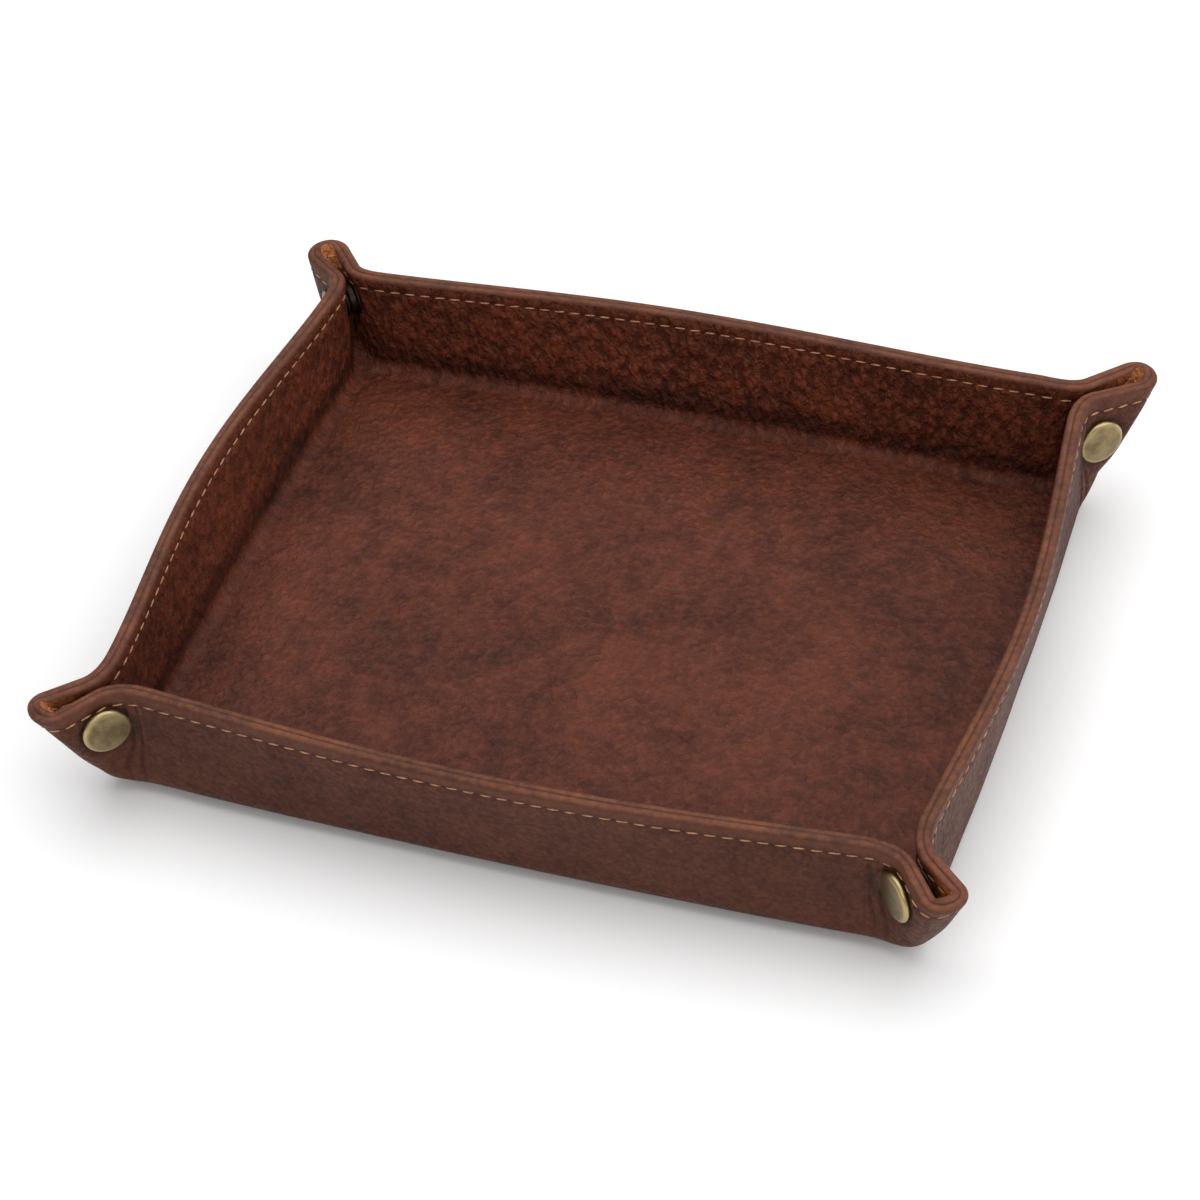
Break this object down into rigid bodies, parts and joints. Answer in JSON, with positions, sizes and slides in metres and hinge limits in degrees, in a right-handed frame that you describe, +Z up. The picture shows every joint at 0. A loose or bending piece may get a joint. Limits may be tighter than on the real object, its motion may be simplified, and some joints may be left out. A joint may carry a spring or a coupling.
{
  "type": "valet tray",
  "caption": "Shallow rectangular leather valet tray, its corners pinched into loops by brass press studs so that the walls can open out flat.",
  "frame": {"origin": "centre of the tray's underside, on the surface it stands on", "axes": "+X along the tray's long side to the right, +Y to the back, +Z up"},
  "size_m": [0.2518, 0.2098, 0.0375],
  "materials": {
    "outer_leather": "smooth waxed brown leather, darker and more purple than the lining, with burnished tan edges",
    "lining_leather": "pebbled reddish-brown leather",
    "brass": "antique brass, dark in the low places and polished on the edges"
  },
  "bodies": {
    "base": {"base_outer": "outer_leather", "base_lining": "lining_leather"},
    "wall_front": {"wall_front_outer": "outer_leather", "wall_front_lining": "lining_leather", "bend_front_outer": "outer_leather", "bend_front_lining": "lining_leather"},
    "wall_right": {"wall_right_outer": "outer_leather", "wall_right_lining": "lining_leather", "bend_right_outer": "outer_leather", "bend_right_lining": "lining_leather"},
    "wall_back": {"wall_back_outer": "outer_leather", "wall_back_lining": "lining_leather", "bend_back_outer": "outer_leather", "bend_back_lining": "lining_leather"},
    "wall_left": {"wall_left_outer": "outer_leather", "wall_left_lining": "lining_leather", "bend_left_outer": "outer_leather", "bend_left_lining": "lining_leather"},
    "ear_front_left_front": {"ear_front_left_front_outer": "outer_leather", "ear_front_left_front_lining": "lining_leather", "snap_front_left_cap": "brass", "snap_front_left_socket": "brass"},
    "fold_front_left_front": {"fold_front_left_front": "outer_leather"},
    "ear_front_right_front": {"ear_front_right_front_outer": "outer_leather", "ear_front_right_front_lining": "lining_leather", "snap_front_right_cap": "brass", "snap_front_right_socket": "brass"},
    "fold_front_right_front": {"fold_front_right_front": "outer_leather"},
    "ear_front_right_right": {"ear_front_right_right_outer": "outer_leather", "ear_front_right_right_lining": "lining_leather", "snap_front_right_eyelet": "brass", "snap_front_right_stud": "brass"},
    "fold_front_right_right": {"fold_front_right_right": "outer_leather"},
    "ear_back_right_right": {"ear_back_right_right_outer": "outer_leather", "ear_back_right_right_lining": "lining_leather", "snap_back_right_cap": "brass", "snap_back_right_socket": "brass"},
    "fold_back_right_right": {"fold_back_right_right": "outer_leather"},
    "ear_back_right_back": {"ear_back_right_back_outer": "outer_leather", "ear_back_right_back_lining": "lining_leather", "snap_back_right_eyelet": "brass", "snap_back_right_stud": "brass"},
    "fold_back_right_back": {"fold_back_right_back": "outer_leather"},
    "ear_back_left_back": {"ear_back_left_back_outer": "outer_leather", "ear_back_left_back_lining": "lining_leather", "snap_back_left_cap": "brass", "snap_back_left_socket": "brass"},
    "fold_back_left_back": {"fold_back_left_back": "outer_leather"},
    "ear_back_left_left": {"ear_back_left_left_outer": "outer_leather", "ear_back_left_left_lining": "lining_leather", "snap_back_left_eyelet": "brass", "snap_back_left_stud": "brass"},
    "fold_back_left_left": {"fold_back_left_left": "outer_leather"},
    "ear_front_left_left": {"ear_front_left_left_outer": "outer_leather", "ear_front_left_left_lining": "lining_leather", "snap_front_left_eyelet": "brass", "snap_front_left_stud": "brass"},
    "fold_front_left_left": {"fold_front_left_left": "outer_leather"}
  },
  "joints": [
    {"name": "front_wall_fold", "type": "hinge", "parent": "base", "child": "wall_front", "pos_m": [0, -0.08631, 0.00361], "axis": [1, 0, 0], "range_deg": [0, 80], "deforming": ["bend_front_outer", "bend_front_lining"]},
    {"name": "right_wall_fold", "type": "hinge", "parent": "base", "child": "wall_right", "pos_m": [0.10731, 0, 0.00361], "axis": [0, 1, 0], "range_deg": [0, 81], "deforming": ["bend_right_outer", "bend_right_lining"]},
    {"name": "back_wall_fold", "type": "hinge", "parent": "base", "child": "wall_back", "pos_m": [0, 0.08631, 0.00361], "axis": [-1, 0, 0], "range_deg": [0, 81], "deforming": ["bend_back_outer", "bend_back_lining"]},
    {"name": "left_wall_fold", "type": "hinge", "parent": "base", "child": "wall_left", "pos_m": [-0.10731, 0, 0.00361], "axis": [0, -1, 0], "range_deg": [0, 81], "deforming": ["bend_left_outer", "bend_left_lining"]},
    {"name": "front_left_front_ear_turn", "type": "hinge", "parent": "wall_front", "child": "ear_front_left_front", "pos_m": [-0.10231, -0.08951, 0.00071], "axis": [0.0898, -0.2169, -0.972], "range_deg": [0, 46.7]},
    {"name": "front_left_front_fold_open", "type": "hinge", "parent": "ear_front_left_front", "child": "fold_front_left_front", "pos_m": [-0.10373, -0.088, 0.00434], "axis": [-0.3954, -0.3954, 0.829], "range_deg": [0, 83.4], "deforming": ["fold_front_left_front"]},
    {"name": "front_right_front_ear_turn", "type": "hinge", "parent": "wall_front", "child": "ear_front_right_front", "pos_m": [0.10231, -0.08951, 0.00071], "axis": [0.0898, 0.2169, 0.972], "range_deg": [0, 46.7]},
    {"name": "front_right_front_fold_open", "type": "hinge", "parent": "ear_front_right_front", "child": "fold_front_right_front", "pos_m": [0.10373, -0.088, 0.00434], "axis": [-0.3954, 0.3954, -0.829], "range_deg": [0, 83.4], "deforming": ["fold_front_right_front"]},
    {"name": "front_right_right_ear_turn", "type": "hinge", "parent": "wall_right", "child": "ear_front_right_right", "pos_m": [0.11052, -0.08131, 0.00071], "axis": [0.2169, 0.0898, -0.972], "range_deg": [0, 46.7]},
    {"name": "front_right_right_fold_open", "type": "hinge", "parent": "ear_front_right_right", "child": "fold_front_right_right", "pos_m": [0.109, -0.08274, 0.00434], "axis": [0.3954, -0.3954, 0.829], "range_deg": [0, 83.4], "deforming": ["fold_front_right_right"]},
    {"name": "back_right_right_ear_turn", "type": "hinge", "parent": "wall_right", "child": "ear_back_right_right", "pos_m": [0.11052, 0.08131, 0.00071], "axis": [-0.2169, 0.0898, 0.972], "range_deg": [0, 46.7]},
    {"name": "back_right_right_fold_open", "type": "hinge", "parent": "ear_back_right_right", "child": "fold_back_right_right", "pos_m": [0.109, 0.08274, 0.00434], "axis": [-0.3954, -0.3954, -0.829], "range_deg": [0, 83.4], "deforming": ["fold_back_right_right"]},
    {"name": "back_right_back_ear_turn", "type": "hinge", "parent": "wall_back", "child": "ear_back_right_back", "pos_m": [0.10231, 0.08951, 0.00071], "axis": [-0.0898, 0.2169, -0.972], "range_deg": [0, 46.7]},
    {"name": "back_right_back_fold_open", "type": "hinge", "parent": "ear_back_right_back", "child": "fold_back_right_back", "pos_m": [0.10373, 0.088, 0.00434], "axis": [0.3954, 0.3954, 0.829], "range_deg": [0, 83.4], "deforming": ["fold_back_right_back"]},
    {"name": "back_left_back_ear_turn", "type": "hinge", "parent": "wall_back", "child": "ear_back_left_back", "pos_m": [-0.10231, 0.08951, 0.00071], "axis": [-0.0898, -0.2169, 0.972], "range_deg": [0, 46.7]},
    {"name": "back_left_back_fold_open", "type": "hinge", "parent": "ear_back_left_back", "child": "fold_back_left_back", "pos_m": [-0.10373, 0.088, 0.00434], "axis": [0.3954, -0.3954, -0.829], "range_deg": [0, 83.4], "deforming": ["fold_back_left_back"]},
    {"name": "back_left_left_ear_turn", "type": "hinge", "parent": "wall_left", "child": "ear_back_left_left", "pos_m": [-0.11052, 0.08131, 0.00071], "axis": [-0.2169, -0.0898, -0.972], "range_deg": [0, 46.7]},
    {"name": "back_left_left_fold_open", "type": "hinge", "parent": "ear_back_left_left", "child": "fold_back_left_left", "pos_m": [-0.109, 0.08274, 0.00434], "axis": [-0.3954, 0.3954, 0.829], "range_deg": [0, 83.4], "deforming": ["fold_back_left_left"]},
    {"name": "front_left_left_ear_turn", "type": "hinge", "parent": "wall_left", "child": "ear_front_left_left", "pos_m": [-0.11052, -0.08131, 0.00071], "axis": [0.2169, -0.0898, 0.972], "range_deg": [0, 46.7]},
    {"name": "front_left_left_fold_open", "type": "hinge", "parent": "ear_front_left_left", "child": "fold_front_left_left", "pos_m": [-0.109, -0.08274, 0.00434], "axis": [0.3954, 0.3954, -0.829], "range_deg": [0, 83.4], "deforming": ["fold_front_left_left"]}
  ],
  "couplings": [
    {"joint": "right_wall_fold", "follows": "front_wall_fold", "ratio": 1},
    {"joint": "back_wall_fold", "follows": "front_wall_fold", "ratio": 1},
    {"joint": "left_wall_fold", "follows": "front_wall_fold", "ratio": 1},
    {"joint": "front_left_front_ear_turn", "follows": "front_wall_fold", "ratio": 0.577},
    {"joint": "front_left_front_fold_open", "follows": "front_wall_fold", "ratio": 1.0368},
    {"joint": "front_right_front_ear_turn", "follows": "front_wall_fold", "ratio": 0.577},
    {"joint": "front_right_front_fold_open", "follows": "front_wall_fold", "ratio": 1.0368},
    {"joint": "front_right_right_ear_turn", "follows": "front_wall_fold", "ratio": 0.577},
    {"joint": "front_right_right_fold_open", "follows": "front_wall_fold", "ratio": 1.0368},
    {"joint": "back_right_right_ear_turn", "follows": "front_wall_fold", "ratio": 0.577},
    {"joint": "back_right_right_fold_open", "follows": "front_wall_fold", "ratio": 1.0368},
    {"joint": "back_right_back_ear_turn", "follows": "front_wall_fold", "ratio": 0.577},
    {"joint": "back_right_back_fold_open", "follows": "front_wall_fold", "ratio": 1.0368},
    {"joint": "back_left_back_ear_turn", "follows": "front_wall_fold", "ratio": 0.577},
    {"joint": "back_left_back_fold_open", "follows": "front_wall_fold", "ratio": 1.0368},
    {"joint": "back_left_left_ear_turn", "follows": "front_wall_fold", "ratio": 0.577},
    {"joint": "back_left_left_fold_open", "follows": "front_wall_fold", "ratio": 1.0368},
    {"joint": "front_left_left_ear_turn", "follows": "front_wall_fold", "ratio": 0.577},
    {"joint": "front_left_left_fold_open", "follows": "front_wall_fold", "ratio": 1.0368}
  ]
}
